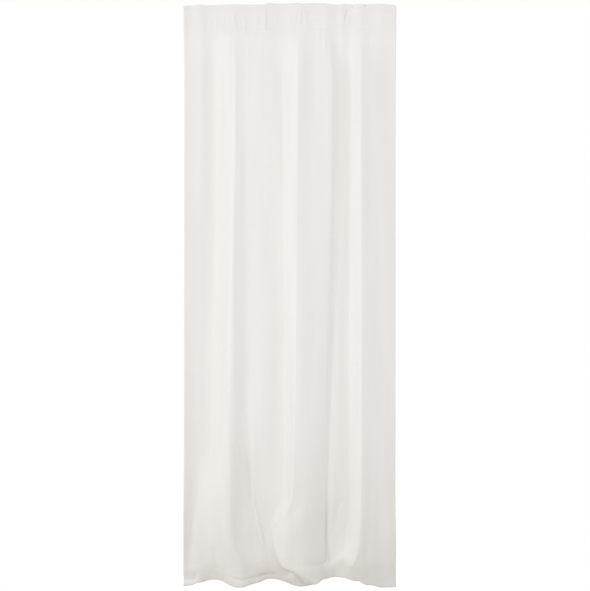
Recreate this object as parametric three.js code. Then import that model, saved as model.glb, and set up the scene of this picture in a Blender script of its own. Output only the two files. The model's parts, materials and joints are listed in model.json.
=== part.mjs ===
// Velvet curtain panel hanging free from its gathered heading, with the heading tape sewn behind its top.
// Millimetres, +Z up. The origin is the middle of the top edge in the hanging plane. The viewer stands on
// the -Y side, with +X to the right. "Below" is a distance under the top edge, "out" one in front of the
// hanging plane.
import * as THREE from "three";

// ---- driving dimensions
const DROP = 2500; // finished length
const FLAT_WIDTH = 1030; // finished width of the cloth before it is gathered
const VELVET = 2; // thickness with the pile
const TAPE = 1.2; // thickness of the heading tape
const SEWN_GAP = 0.3; // between the tape and the cloth
const FRILL = 37; // cloth standing above the tape
const TAPE_HEIGHT = 75;
const TAPE_END = FRILL + TAPE_HEIGHT;
const TAPE_INSET = 3; // heading columns left free between the tape and each side edge
const HEM = 86; // height of the bottom hem

// ---- mesh density
const HEADING_ROWS = [0, FRILL, FRILL + TAPE_HEIGHT / 2, TAPE_END, 150];
const BODY_ROWS = [
  190, 260, 360, 540, 780, 1060, 1350, 1620, 1840, 2000, 2120, 2215, 2300, 2360, DROP - HEM, 2440, 2470,
  DROP,
];
const HEADING_DENSITY = 2; // columns in the heading for each column of the body

// ---- folds
// Levels at which the folds are set out, as distances below the top edge.
const LEVELS = {
  drawn: TAPE_END,
  upper: 340,
  middle: 1850,
  low: 2110,
  swell: 2300,
  hemTop: DROP - HEM,
  hemBody: 2440,
  hem: DROP,
};

// One row for each crest or valley from the left edge to the right. Each level holds [x, out, round]:
// round is the reach of the curve at that point as a share of the way to its neighbour, so 0.1 is a sharp
// crease and 0.4 a plain wave. columns is the number of mesh columns from this row to the next, and sag how
// much lower the hem hangs there.
const FOLDS = [
  {
    name: "left edge",
    columns: 2,
    drawn: [-458, 0, 0.4],
    upper: [-457, -8, 0.4],
    middle: [-457, -2, 0.4],
    low: [-457, 4, 0.4],
    swell: [-457, 12, 0.4],
    hemTop: [-457, 10, 0.4],
    hemBody: [-457, 11, 0.4],
    hem: [-456, 14, 0.4],
    sag: 8,
  },
  {
    name: "left edge valley",
    columns: 2,
    drawn: [-430, -3, 0.4],
    upper: [-430, -13, 0.4],
    middle: [-432, -9, 0.4],
    low: [-426, -9, 0.4],
    swell: [-438, -5, 0.4],
    hemTop: [-430, 4, 0.4],
    hemBody: [-430, 6, 0.4],
    hem: [-430, 12, 0.4],
    sag: 5,
  },
  {
    name: "left ripple",
    columns: 3,
    drawn: [-392, -1, 0.4],
    upper: [-392, -17, 0.3],
    middle: [-404, -14, 0.35],
    low: [-406, -10, 0.4],
    swell: [-410, 2, 0.4],
    hemTop: [-388, 7, 0.4],
    hemBody: [-388, 7, 0.4],
    hem: [-392, 6, 0.4],
    sag: -4,
  },
  {
    name: "first valley",
    columns: 8,
    drawn: [-350, -4, 0.4],
    upper: [-328, -28, 0.35],
    middle: [-358, -18, 0.4],
    low: [-384, -5, 0.3],
    swell: [-350, 11, 0.4],
    hemTop: [-344, 9, 0.4],
    hemBody: [-340, 6, 0.4],
    hem: [-330, -4, 0.45],
    sag: -12,
  },
  {
    name: "first fold",
    columns: 4,
    drawn: [-238, 3, 0.3],
    upper: [-234, 26, 0.18],
    middle: [-256, 30, 0.4],
    low: [-262, 28, 0.45],
    swell: [-256, 30, 0.35],
    hemTop: [-220, 25, 0.45],
    hemBody: [-216, 24, 0.45],
    hem: [-216, 29, 0.45],
    sag: 6,
  },
  {
    name: "second valley",
    columns: 5,
    drawn: [-184, 1, 0.4],
    upper: [-188, 17, 0.45],
    middle: [-190, 12, 0.45],
    low: [-184, -7, 0.35],
    swell: [-200, 7, 0.4],
    hemTop: [-172, 10, 0.4],
    hemBody: [-168, 8, 0.4],
    hem: [-150, 5, 0.4],
    sag: 0,
  },
  {
    name: "second fold",
    columns: 6,
    drawn: [-112, 2, 0.3],
    upper: [-108, 14, 0.35],
    middle: [-152, 15, 0.35],
    low: [-156, 2, 0.3],
    swell: [-134, -8, 0.12],
    hemTop: [-126, 4, 0.3],
    hemBody: [-116, 2, 0.4],
    hem: [-86, -17, 0.4],
    sag: -9,
  },
  {
    name: "third valley",
    columns: 7,
    drawn: [-43, -2, 0.4],
    upper: [-34, 4, 0.3],
    middle: [-28, 7, 0.35],
    low: [-36, 4, 0.4],
    swell: [-99, -14, 0.5],
    hemTop: [-56, -4, 0.5],
    hemBody: [-12, -8, 0.5],
    hem: [54, -16, 0.5],
    sag: 18,
  },
  {
    name: "third fold",
    columns: 6,
    drawn: [35, 3, 0.3],
    upper: [33, 37, 0.18],
    middle: [22, 37, 0.25],
    low: [11, 36, 0.25],
    swell: [-45, 32, 0.35],
    hemTop: [-10, 42, 0.3],
    hemBody: [36, 38, 0.3],
    hem: [108, 26, 0.35],
    sag: -5,
  },
  {
    name: "fourth valley",
    columns: 4,
    drawn: [100, 1, 0.4],
    upper: [98, 23, 0.4],
    middle: [84, 28, 0.4],
    low: [62, 31, 0.35],
    swell: [8, 44, 0.5],
    hemTop: [32, 41, 0.45],
    hemBody: [72, 33, 0.4],
    hem: [124, 16, 0.4],
    sag: -9,
  },
  {
    name: "fourth fold",
    columns: 2,
    drawn: [158, 2, 0.3],
    upper: [179, 15, 0.22],
    middle: [152, 9, 0.25],
    low: [147, 2, 0.27],
    swell: [144, -8, 0.25],
    hemTop: [144, -4, 0.3],
    hemBody: [144, -4, 0.4],
    hem: [136, 0, 0.4],
    sag: -10,
  },
  {
    name: "pinched valley",
    columns: 2,
    drawn: [204, -2, 0.4],
    upper: [211, -4, 0.22],
    middle: [165, 1, 0.13],
    low: [158, -5, 0.12],
    swell: [157, -22, 0.1],
    hemTop: [157, -17, 0.12],
    hemBody: [160, -10, 0.35],
    hem: [158, -12, 0.3],
    sag: -12,
  },
  {
    name: "pinched fold",
    columns: 3,
    drawn: [226, -1, 0.4],
    upper: [232, -7, 0.3],
    middle: [179, 4, 0.3],
    low: [170, 1, 0.3],
    swell: [168, -12, 0.3],
    hemTop: [180, -6, 0.3],
    hemBody: [182, -7, 0.35],
    hem: [184, -14, 0.3],
    sag: -18,
  },
  {
    name: "fifth valley",
    columns: 6,
    drawn: [252, -3, 0.4],
    upper: [254, -10, 0.25],
    middle: [258, -6, 0.25],
    low: [258, -9, 0.3],
    swell: [242, -15, 0.35],
    hemTop: [220, 0, 0.4],
    hemBody: [222, -2, 0.4],
    hem: [215, -8, 0.45],
    sag: -21,
  },
  {
    name: "fifth fold",
    columns: 5,
    drawn: [302, 3, 0.3],
    upper: [303, 15, 0.2],
    middle: [306, 16, 0.2],
    low: [305, 15, 0.22],
    swell: [300, 20, 0.3],
    hemTop: [276, 19, 0.35],
    hemBody: [272, 15, 0.4],
    hem: [290, 4, 0.4],
    sag: -9,
  },
  {
    name: "right valley",
    columns: 3,
    drawn: [356, 0, 0.4],
    upper: [352, 2, 0.4],
    middle: [352, 2, 0.4],
    low: [350, 0, 0.4],
    swell: [346, 2, 0.4],
    hemTop: [334, 5, 0.4],
    hemBody: [334, 1, 0.4],
    hem: [340, -7, 0.4],
    sag: 14,
  },
  {
    name: "right ripple",
    columns: 4,
    drawn: [404, 1, 0.4],
    upper: [404, -10, 0.3],
    middle: [404, -11, 0.3],
    low: [404, -14, 0.4],
    swell: [404, -17, 0.4],
    hemTop: [400, -17, 0.4],
    hemBody: [402, -18, 0.4],
    hem: [412, -24, 0.45],
    sag: 32,
  },
  {
    name: "right edge",
    columns: 0,
    drawn: [458, -1, 0.4],
    upper: [461, -23, 0.4],
    middle: [461, -26, 0.4],
    low: [461, -30, 0.4],
    swell: [462, -33, 0.4],
    hemTop: [463, -33, 0.4],
    hemBody: [463, -33, 0.4],
    hem: [463, -32, 0.4],
    sag: 34,
  },
];

// Toward the hem the cloth between this valley and the next fold slips under that fold, by this much more
// reach at both its ends.
const TUCKED = "third valley";
const TUCK_START = 2150;
const TUCK = 1.3;

// ---- gathers
// The short upright puckers that the tape draws into the heading: place, width, height of the ridge, its
// two ends as distances below the top edge, and how far its foot leans to the right.
const PUCKERS = [
  { x: -440, width: 18, ridge: 1.2, top: 30, bottom: 88, lean: 0 },
  { x: -404, width: 20, ridge: 1.2, top: 44, bottom: 96, lean: 0 },
  { x: -378, width: 18, ridge: 1.4, top: 60, bottom: 112, lean: 0 },
  { x: -350, width: 18, ridge: 2.6, top: 66, bottom: 112, lean: 4 },
  { x: -322, width: 16, ridge: 1.4, top: 60, bottom: 98, lean: 0 },
  { x: -292, width: 14, ridge: 2.6, top: 54, bottom: 92, lean: -2 },
  { x: -272, width: 13, ridge: 2.4, top: 58, bottom: 90, lean: 2 },
  { x: -243, width: 20, ridge: 3.6, top: 42, bottom: 120, lean: 14 },
  { x: -222, width: 14, ridge: 2.6, top: 74, bottom: 100, lean: 2 },
  { x: -199, width: 18, ridge: 3.4, top: 56, bottom: 122, lean: 4 },
  { x: -162, width: 16, ridge: 1.8, top: 124, bottom: 160, lean: -4 },
  { x: -148, width: 18, ridge: 2.9, top: 52, bottom: 106, lean: -3 },
  { x: -112, width: 20, ridge: 3.6, top: 46, bottom: 110, lean: -6 },
  { x: -66, width: 22, ridge: 1.2, top: 50, bottom: 96, lean: 0 },
  { x: -4, width: 14, ridge: 2.6, top: 58, bottom: 90, lean: 0 },
  { x: 17, width: 12, ridge: 2.6, top: 64, bottom: 92, lean: -3 },
  { x: 37, width: 20, ridge: 3.6, top: 50, bottom: 92, lean: -6 },
  { x: 62, width: 16, ridge: 2, top: 30, bottom: 100, lean: 6 },
  { x: 76, width: 14, ridge: 2, top: 84, bottom: 108, lean: 0 },
  { x: 120, width: 14, ridge: 2.6, top: 88, bottom: 166, lean: -2 },
  { x: 147, width: 16, ridge: 2.6, top: 98, bottom: 186, lean: -4 },
  { x: 184, width: 18, ridge: 2.4, top: 70, bottom: 96, lean: 0 },
  { x: 214, width: 18, ridge: 1.4, top: 18, bottom: 50, lean: 0 },
  { x: 252, width: 20, ridge: 3.1, top: 24, bottom: 70, lean: -10 },
  { x: 270, width: 16, ridge: 2, top: 40, bottom: 96, lean: -4 },
  { x: 302, width: 20, ridge: 1.2, top: 50, bottom: 96, lean: 0 },
  { x: 334, width: 18, ridge: 1.8, top: 100, bottom: 140, lean: 0 },
  { x: 392, width: 24, ridge: 1.2, top: 44, bottom: 96, lean: 0 },
  { x: 436, width: 20, ridge: 1.2, top: 34, bottom: 90, lean: 0 },
];
const PUCKER_FADE = 22; // half the length over which a pucker rises at its ends

// ---- curves
const HALVINGS = 30; // steps of the search for the folds' depth
const DEEPEST = 3; // where that search starts

// Slopes of a smooth curve through the points that never overshoots: level at each high and low.
function gentleSlopes(knots, values) {
  const last = knots.length - 1;
  const rise = knots.slice(1).map((knot, i) => (values[i + 1] - values[i]) / (knot - knots[i]));
  return knots.map((_, i) => {
    if (i === 0) return rise[0];
    if (i === last) return rise[last - 1];
    const [before, after] = [rise[i - 1], rise[i]];
    return before * after <= 0 ? 0 : (2 * before * after) / (before + after);
  });
}

// Value at a place of the smooth curve through the points.
function gentleValue(knots, values, place) {
  const slopes = gentleSlopes(knots, values);
  const at = Math.min(Math.max(place, knots[0]), knots.at(-1));
  const next = Math.max(1, knots.findIndex((knot) => knot >= at));
  const span = knots[next] - knots[next - 1];
  const t = (at - knots[next - 1]) / span;
  const ease = t * t * (3 - 2 * t);
  return (
    values[next - 1] * (1 - ease) +
    values[next] * ease +
    slopes[next - 1] * span * t * (1 - t) ** 2 -
    slopes[next] * span * t * t * (1 - t)
  );
}

const smoothStep = (from, to, at) => THREE.MathUtils.smoothstep(at, from, to);

// The crests and valleys at a height.
function foldPoints(below) {
  const tuck = TUCK * smoothStep(TUCK_START, LEVELS.hemTop, below);
  const names = Object.keys(LEVELS);
  const knots = Object.values(LEVELS);
  return FOLDS.map((fold) => {
    const column = (i) => names.map((name) => fold[name][i]);
    const [x, out, round] = [0, 1, 2].map((i) => gentleValue(knots, column(i), below));
    return { x, out, round, tuck: fold.name === TUCKED ? tuck : 0, columns: fold.columns };
  });
}

// The plan of the cloth as a chain of points, its folds deepened by a factor.
function planCurve(points, deepen, density) {
  const out = points.map((point) => point.out * deepen);
  const slopes = gentleSlopes(points.map((point) => point.x), out);
  const corner = (i, along) => new THREE.Vector2(points[i].x + along, out[i] + along * slopes[i]);
  const chain = [corner(0, 0)];
  for (let i = 0; i + 1 < points.length; i += 1) {
    const width = points[i + 1].x - points[i].x;
    const leave = corner(i, (points[i].round + points[i].tuck) * width);
    const arrive = corner(i + 1, -(points[i + 1].round + points[i].tuck) * width);
    const flank = new THREE.CubicBezierCurve(corner(i, 0), leave, arrive, corner(i + 1, 0));
    chain.push(...flank.getPoints(points[i].columns * density).slice(1));
  }
  return chain;
}

function chainLength(chain) {
  return chain.slice(1).reduce((sum, point, i) => sum + point.distanceTo(chain[i]), 0);
}

// How much the folds are deepened at a height so that they take up the full width of the cloth.
function deepening(below) {
  const points = foldPoints(below);
  let [low, high] = [0, DEEPEST];
  for (let i = 0; i < HALVINGS; i += 1) {
    const middle = (low + high) / 2;
    if (chainLength(planCurve(points, middle, HEADING_DENSITY)) < FLAT_WIDTH) low = middle;
    else high = middle;
  }
  return high;
}

// ---- rows of points
// Height of the puckers at a place in the heading.
function puckerOut(x, below) {
  return PUCKERS.reduce((sum, pucker) => {
    const share = (below - pucker.top) / (pucker.bottom - pucker.top);
    const across = (x - pucker.x - pucker.lean * (share - 0.5)) / (pucker.width / 2);
    if (Math.abs(across) >= 1) return sum;
    const rise = smoothStep(pucker.top - PUCKER_FADE, pucker.top + PUCKER_FADE, below);
    const fall = 1 - smoothStep(pucker.bottom - PUCKER_FADE, pucker.bottom + PUCKER_FADE, below);
    return sum + pucker.ridge * rise * fall * Math.cos((across * Math.PI) / 2) ** 2;
  }, 0);
}

// How much lower the hem hangs at each column, eased from each fold to the next.
function columnSags(density) {
  const sags = [FOLDS[0].sag];
  for (let i = 0; i + 1 < FOLDS.length; i += 1) {
    const steps = FOLDS[i].columns * density;
    for (let c = 1; c <= steps; c += 1) {
      sags.push(THREE.MathUtils.lerp(FOLDS[i].sag, FOLDS[i + 1].sag, smoothStep(0, 1, c / steps)));
    }
  }
  return sags;
}

// One row of the cloth's middle surface. Above the upper level the folds die away into the drawn heading,
// and below the swell the cloth reaches down to its uneven hem.
function clothRow(below, density) {
  const deepen = deepening(Math.max(below, LEVELS.upper));
  const sags = columnSags(density);
  const lowering = smoothStep(LEVELS.swell, LEVELS.hem, below);
  return planCurve(foldPoints(below), deepen, density).map(
    ({ x, y }, i) => new THREE.Vector3(x, -y - puckerOut(x, below), -below - lowering * sags[i]),
  );
}

// ---- sheets
// The middle surface of a sheet: its rows of points, the triangles between them facing the viewer, and the
// normal at each point. A row may have half the columns of the one above it.
function surfaceOf(rows) {
  const starts = [];
  let count = 0;
  for (const row of rows) {
    starts.push(count);
    count += row.length;
  }
  const faces = [];
  for (let r = 0; r + 1 < rows.length; r += 1) {
    const [upper, lower] = [starts[r], starts[r + 1]];
    const columns = rows[r + 1].length - 1;
    const halved = rows[r].length - 1 === 2 * columns;
    for (let c = 0; c < columns; c += 1) {
      const [left, right] = [lower + c, lower + c + 1];
      if (halved) {
        const top = upper + 2 * c;
        faces.push([top, left, top + 1], [top + 1, left, right], [top + 1, right, top + 2]);
      } else {
        const top = upper + c;
        faces.push([top, left, right], [top, right, top + 1]);
      }
    }
  }
  const geometry = new THREE.BufferGeometry().setFromPoints(rows.flat()).setIndex(faces.flat());
  geometry.computeVertexNormals();
  const normal = geometry.attributes.normal;
  const normals = rows.flat().map((_, i) => new THREE.Vector3().fromBufferAttribute(normal, i));
  return { starts, rows, faces, normals };
}

// The border of the surface as a loop of point numbers, turning the same way as its faces.
function borderOf({ starts, rows }) {
  const lastRow = rows.length - 1;
  const leftSide = starts.slice(1);
  const bottom = rows[lastRow].map((_, c) => starts[lastRow] + c).slice(1);
  const rightSide = rows.map((row, r) => starts[r] + row.length - 1).reverse().slice(1);
  const top = rows[0].map((_, c) => starts[0] + c).reverse().slice(1);
  return [...leftSide, ...bottom, ...rightSide, ...top];
}

// A closed sheet between two distances in front of a middle surface.
function sheetSolid(surface, normals, front, back) {
  const points = surface.rows.flat();
  const count = points.length;
  const side = (offset) => points.map((point, i) => point.clone().addScaledVector(normals[i], offset));
  const border = borderOf(surface);
  const rim = border.flatMap((from, i) => {
    const to = border[(i + 1) % border.length];
    return [from, from + count, to, to, from + count, to + count];
  });
  const faces = surface.faces.flatMap(([a, b, c]) => [a, b, c, a + count, c + count, b + count]);
  const geometry = new THREE.BufferGeometry().setFromPoints([...side(front), ...side(back)]);
  geometry.setIndex([...faces, ...rim]);
  geometry.computeVertexNormals();
  return geometry;
}

// ---- pieces
const headingRows = HEADING_ROWS.map((below) => clothRow(below, HEADING_DENSITY));
const bodyRows = BODY_ROWS.map((below) => clothRow(below, 1));
const cloth = surfaceOf([...headingRows, ...bodyRows]);

function velvetPanel() {
  const material = new THREE.MeshStandardMaterial({ color: 0xeeebe7, roughness: 0.9, metalness: 0 });
  const mesh = new THREE.Mesh(sheetSolid(cloth, cloth.normals, VELVET / 2, -VELVET / 2), material);
  mesh.name = "velvet_panel";
  return mesh;
}

// The tape lies on the back of the cloth, drawn into the same puckers.
function headingTape() {
  const isTaped = (below) => below >= FRILL && below <= TAPE_END;
  const taped = [...HEADING_ROWS.keys()].filter((r) => isTaped(HEADING_ROWS[r]));
  const between = (row) => row.slice(TAPE_INSET, row.length - TAPE_INSET);
  const surface = surfaceOf(taped.map((r) => between(headingRows[r])));
  const numbers = taped.flatMap((r) => between(headingRows[r].map((_, c) => cloth.starts[r] + c)));
  const front = -VELVET / 2 - SEWN_GAP;
  const geometry = sheetSolid(surface, numbers.map((i) => cloth.normals[i]), front, front - TAPE);
  const material = new THREE.MeshStandardMaterial({ color: 0xf0eeea, roughness: 0.8, metalness: 0 });
  const mesh = new THREE.Mesh(geometry, material);
  mesh.name = "heading_tape";
  return mesh;
}

const curtain = new THREE.Group();
curtain.add(velvetPanel(), headingTape());
export default curtain;
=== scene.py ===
"""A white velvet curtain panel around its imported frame: the cloth with its turned hems, the gathering
tape behind its heading with its cords and pockets, and their stitching, hanging in uneven folds.

Metres, +Z up. The origin is the middle of the top edge in the hanging plane, and the viewer stands on
the -Y side. "below" is a distance under the top edge, "out" one in front of the hanging plane, and
"across" one from the left edge along the flat cloth. A "lift" is a distance in front of the cloth's
middle surface, and behind it where it is under zero.
"""
import json
import math

import bpy
import numpy as np
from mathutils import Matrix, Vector, noise


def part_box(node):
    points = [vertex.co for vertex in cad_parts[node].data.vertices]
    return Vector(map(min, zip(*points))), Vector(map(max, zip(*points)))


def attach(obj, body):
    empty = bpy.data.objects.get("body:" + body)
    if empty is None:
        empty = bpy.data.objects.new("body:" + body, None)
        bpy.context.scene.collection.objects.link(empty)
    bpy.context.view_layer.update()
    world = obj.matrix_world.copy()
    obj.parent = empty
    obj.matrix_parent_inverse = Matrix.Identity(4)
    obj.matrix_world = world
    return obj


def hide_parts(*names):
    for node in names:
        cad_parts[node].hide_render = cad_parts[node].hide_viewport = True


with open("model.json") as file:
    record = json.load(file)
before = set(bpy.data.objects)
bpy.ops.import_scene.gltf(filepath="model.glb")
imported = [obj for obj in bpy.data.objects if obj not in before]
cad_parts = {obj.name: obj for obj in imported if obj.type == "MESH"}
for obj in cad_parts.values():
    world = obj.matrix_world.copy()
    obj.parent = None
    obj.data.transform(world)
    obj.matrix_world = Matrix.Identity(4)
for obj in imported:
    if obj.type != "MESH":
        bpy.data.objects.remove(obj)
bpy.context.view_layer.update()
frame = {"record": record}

# ---- sizes
heading_point = frame["record"]["mounts"][0]["pos_m"]
cloth_low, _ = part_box("velvet_panel")
DROP = 2.5
FLAT_WIDTH = 1.03
VELVET = 0.002  # thickness with the pile
PLY = 0.0022  # added where the cloth is turned in
TAPE = 0.0012
SEWN_GAP = 0.0003
FRILL = 0.037  # cloth standing above the tape
TAPE_HEIGHT = 0.075
TAPE_END = FRILL + TAPE_HEIGHT
TAPE_INSET = 0.02  # heading left free between the tape and each side edge
TAPE_FRONT = -VELVET / 2 - PLY - SEWN_GAP  # lifts of the tape's two faces
TAPE_BACK = TAPE_FRONT - TAPE
HEM = 0.086
HEM_TOP = DROP - HEM
SIDE_HEM = 0.026
# The turned-in ply ends over this much above the hem and inside the side hems, and between these two
# distances below the tape.
HEM_PLY_END = 0.0006
SIDE_PLY_END = 0.004
TOP_PLY_END = (0.002, 0.008)

# ---- folds
# Levels at which the folds are set out, as distances below the top edge.
LEVELS = [TAPE_END, 0.34, 1.85, 2.11, 2.3, HEM_TOP, 2.44, DROP]
UPPER, SWELL = LEVELS[1], LEVELS[4]
# One row for each crest or valley from the left edge to the right: its name, the mesh columns to the
# next row, how much lower the hem hangs there, and (x, out, round) at each level. round is the reach of
# the curve at that point as a share of the way to its neighbour, so 0.1 is a sharp crease and 0.4 a
# plain wave.
FOLDS = [
    ("left edge", 2, 0.008, [
        (-0.458, 0.0, 0.4), (-0.457, -0.008, 0.4), (-0.457, -0.002, 0.4), (-0.457, 0.004, 0.4),
        (-0.457, 0.012, 0.4), (-0.457, 0.01, 0.4), (-0.457, 0.011, 0.4), (-0.456, 0.014, 0.4)]),
    ("left edge valley", 2, 0.005, [
        (-0.43, -0.003, 0.4), (-0.43, -0.013, 0.4), (-0.432, -0.009, 0.4), (-0.426, -0.009, 0.4),
        (-0.438, -0.005, 0.4), (-0.43, 0.004, 0.4), (-0.43, 0.006, 0.4), (-0.43, 0.012, 0.4)]),
    ("left ripple", 3, -0.004, [
        (-0.392, -0.001, 0.4), (-0.392, -0.017, 0.3), (-0.404, -0.014, 0.35), (-0.406, -0.01, 0.4),
        (-0.41, 0.002, 0.4), (-0.388, 0.007, 0.4), (-0.388, 0.007, 0.4), (-0.392, 0.006, 0.4)]),
    ("first valley", 8, -0.012, [
        (-0.35, -0.004, 0.4), (-0.328, -0.028, 0.35), (-0.358, -0.018, 0.4), (-0.384, -0.005, 0.3),
        (-0.35, 0.011, 0.4), (-0.344, 0.009, 0.4), (-0.34, 0.006, 0.4), (-0.33, -0.004, 0.45)]),
    ("first fold", 4, 0.006, [
        (-0.238, 0.003, 0.3), (-0.234, 0.026, 0.18), (-0.256, 0.03, 0.4), (-0.262, 0.028, 0.45),
        (-0.256, 0.03, 0.35), (-0.22, 0.025, 0.45), (-0.216, 0.024, 0.45), (-0.216, 0.029, 0.45)]),
    ("second valley", 5, 0.0, [
        (-0.184, 0.001, 0.4), (-0.188, 0.017, 0.45), (-0.19, 0.012, 0.45), (-0.184, -0.007, 0.35),
        (-0.2, 0.007, 0.4), (-0.172, 0.01, 0.4), (-0.168, 0.008, 0.4), (-0.15, 0.005, 0.4)]),
    ("second fold", 6, -0.009, [
        (-0.112, 0.002, 0.3), (-0.108, 0.014, 0.35), (-0.152, 0.015, 0.35), (-0.156, 0.002, 0.3),
        (-0.134, -0.008, 0.12), (-0.126, 0.004, 0.3), (-0.116, 0.002, 0.4), (-0.086, -0.017, 0.4)]),
    ("third valley", 7, 0.018, [
        (-0.043, -0.002, 0.4), (-0.034, 0.004, 0.3), (-0.028, 0.007, 0.35), (-0.036, 0.004, 0.4),
        (-0.099, -0.014, 0.5), (-0.056, -0.004, 0.5), (-0.012, -0.008, 0.5), (0.054, -0.016, 0.5)]),
    ("third fold", 6, -0.005, [
        (0.035, 0.003, 0.3), (0.033, 0.037, 0.18), (0.022, 0.037, 0.25), (0.011, 0.036, 0.25),
        (-0.045, 0.032, 0.35), (-0.01, 0.042, 0.3), (0.036, 0.038, 0.3), (0.108, 0.026, 0.35)]),
    ("fourth valley", 4, -0.009, [
        (0.1, 0.001, 0.4), (0.098, 0.023, 0.4), (0.084, 0.028, 0.4), (0.062, 0.031, 0.35),
        (0.008, 0.044, 0.5), (0.032, 0.041, 0.45), (0.072, 0.033, 0.4), (0.124, 0.016, 0.4)]),
    ("fourth fold", 2, -0.01, [
        (0.158, 0.002, 0.3), (0.179, 0.015, 0.22), (0.152, 0.009, 0.25), (0.147, 0.002, 0.27),
        (0.144, -0.008, 0.25), (0.144, -0.004, 0.3), (0.144, -0.004, 0.4), (0.136, 0.0, 0.4)]),
    ("pinched valley", 2, -0.012, [
        (0.204, -0.002, 0.4), (0.211, -0.004, 0.22), (0.165, 0.001, 0.13), (0.158, -0.005, 0.12),
        (0.157, -0.022, 0.1), (0.157, -0.017, 0.12), (0.16, -0.01, 0.35), (0.158, -0.012, 0.3)]),
    ("pinched fold", 3, -0.018, [
        (0.226, -0.001, 0.4), (0.232, -0.007, 0.3), (0.179, 0.004, 0.3), (0.17, 0.001, 0.3),
        (0.168, -0.012, 0.3), (0.18, -0.006, 0.3), (0.182, -0.007, 0.35), (0.184, -0.014, 0.3)]),
    ("fifth valley", 6, -0.021, [
        (0.252, -0.003, 0.4), (0.254, -0.01, 0.25), (0.258, -0.006, 0.25), (0.258, -0.009, 0.3),
        (0.242, -0.015, 0.35), (0.22, 0.0, 0.4), (0.222, -0.002, 0.4), (0.215, -0.008, 0.45)]),
    ("fifth fold", 5, -0.009, [
        (0.302, 0.003, 0.3), (0.303, 0.015, 0.2), (0.306, 0.016, 0.2), (0.305, 0.015, 0.22),
        (0.3, 0.02, 0.3), (0.276, 0.019, 0.35), (0.272, 0.015, 0.4), (0.29, 0.004, 0.4)]),
    ("right valley", 3, 0.014, [
        (0.356, 0.0, 0.4), (0.352, 0.002, 0.4), (0.352, 0.002, 0.4), (0.35, 0.0, 0.4),
        (0.346, 0.002, 0.4), (0.334, 0.005, 0.4), (0.334, 0.001, 0.4), (0.34, -0.007, 0.4)]),
    ("right ripple", 4, 0.032, [
        (0.404, 0.001, 0.4), (0.404, -0.01, 0.3), (0.404, -0.011, 0.3), (0.404, -0.014, 0.4),
        (0.404, -0.017, 0.4), (0.4, -0.017, 0.4), (0.402, -0.018, 0.4), (0.412, -0.024, 0.45)]),
    ("right edge", 0, 0.034, [
        (0.458, -0.001, 0.4), (0.461, -0.023, 0.4), (0.461, -0.026, 0.4), (0.461, -0.03, 0.4),
        (0.462, -0.033, 0.4), (0.463, -0.033, 0.4), (0.463, -0.033, 0.4), (0.463, -0.032, 0.4)]),
]
COLUMNS = 4.5  # mesh columns for each one that the table gives
# The cloth between the third valley and the third fold slips under that fold at the hem. Its curve gets
# more reach from here down.
TUCKED = [fold[0] for fold in FOLDS].index("third valley")
TUCK_START = 2.15
TUCK = 1.3
# The folds are deepened by the factor that takes up the full width of the cloth. It is searched for
# between 0 and this.
DEEPEST = 3.0
DEEPENING_STEPS = 16

# The puckers that the tape draws into the heading: (x, width, ridge, top, bottom, lean). ridge is how
# far one stands out, and lean is how far its lower end stands to the right of its upper one.
PUCKERS = [
    (-0.432, 0.018, 0.0012, 0.03, 0.088, 0.0),
    (-0.396, 0.02, 0.0012, 0.044, 0.096, 0.0),
    (-0.37, 0.018, 0.0014, 0.06, 0.112, 0.0),
    (-0.342, 0.018, 0.0026, 0.066, 0.112, 0.004),
    (-0.314, 0.016, 0.0014, 0.06, 0.098, 0.0),
    (-0.284, 0.014, 0.0026, 0.054, 0.092, -0.002),
    (-0.264, 0.013, 0.0024, 0.058, 0.09, 0.002),
    (-0.235, 0.02, 0.0036, 0.042, 0.12, 0.014),
    (-0.214, 0.014, 0.0026, 0.074, 0.1, 0.002),
    (-0.191, 0.018, 0.0034, 0.056, 0.122, 0.004),
    (-0.154, 0.016, 0.0018, 0.124, 0.16, -0.004),
    (-0.14, 0.018, 0.0029, 0.052, 0.106, -0.003),
    (-0.104, 0.02, 0.0036, 0.046, 0.11, -0.006),
    (-0.058, 0.022, 0.0012, 0.05, 0.096, 0.0),
    (0.004, 0.014, 0.0026, 0.058, 0.09, 0.0),
    (0.025, 0.012, 0.0026, 0.064, 0.092, -0.003),
    (0.045, 0.02, 0.0036, 0.05, 0.092, -0.006),
    (0.07, 0.016, 0.002, 0.03, 0.1, 0.006),
    (0.084, 0.014, 0.002, 0.084, 0.108, 0.0),
    (0.128, 0.014, 0.0026, 0.088, 0.166, -0.002),
    (0.155, 0.016, 0.0026, 0.098, 0.186, -0.004),
    (0.192, 0.018, 0.0024, 0.07, 0.096, 0.0),
    (0.222, 0.018, 0.0014, 0.018, 0.05, 0.0),
    (0.26, 0.02, 0.0031, 0.024, 0.07, -0.01),
    (0.278, 0.016, 0.002, 0.04, 0.096, -0.004),
    (0.31, 0.02, 0.0012, 0.05, 0.096, 0.0),
    (0.342, 0.018, 0.0018, 0.1, 0.14, 0.0),
    (0.4, 0.024, 0.0012, 0.044, 0.096, 0.0),
    (0.444, 0.02, 0.0012, 0.034, 0.09, 0.0),
]
PUCKER_FADE = 0.022  # half the length over which a pucker rises at its ends
PUCKER_PEAK = -0.55  # where its ridge stands between its left side, -1, and its right side, 1

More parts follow.
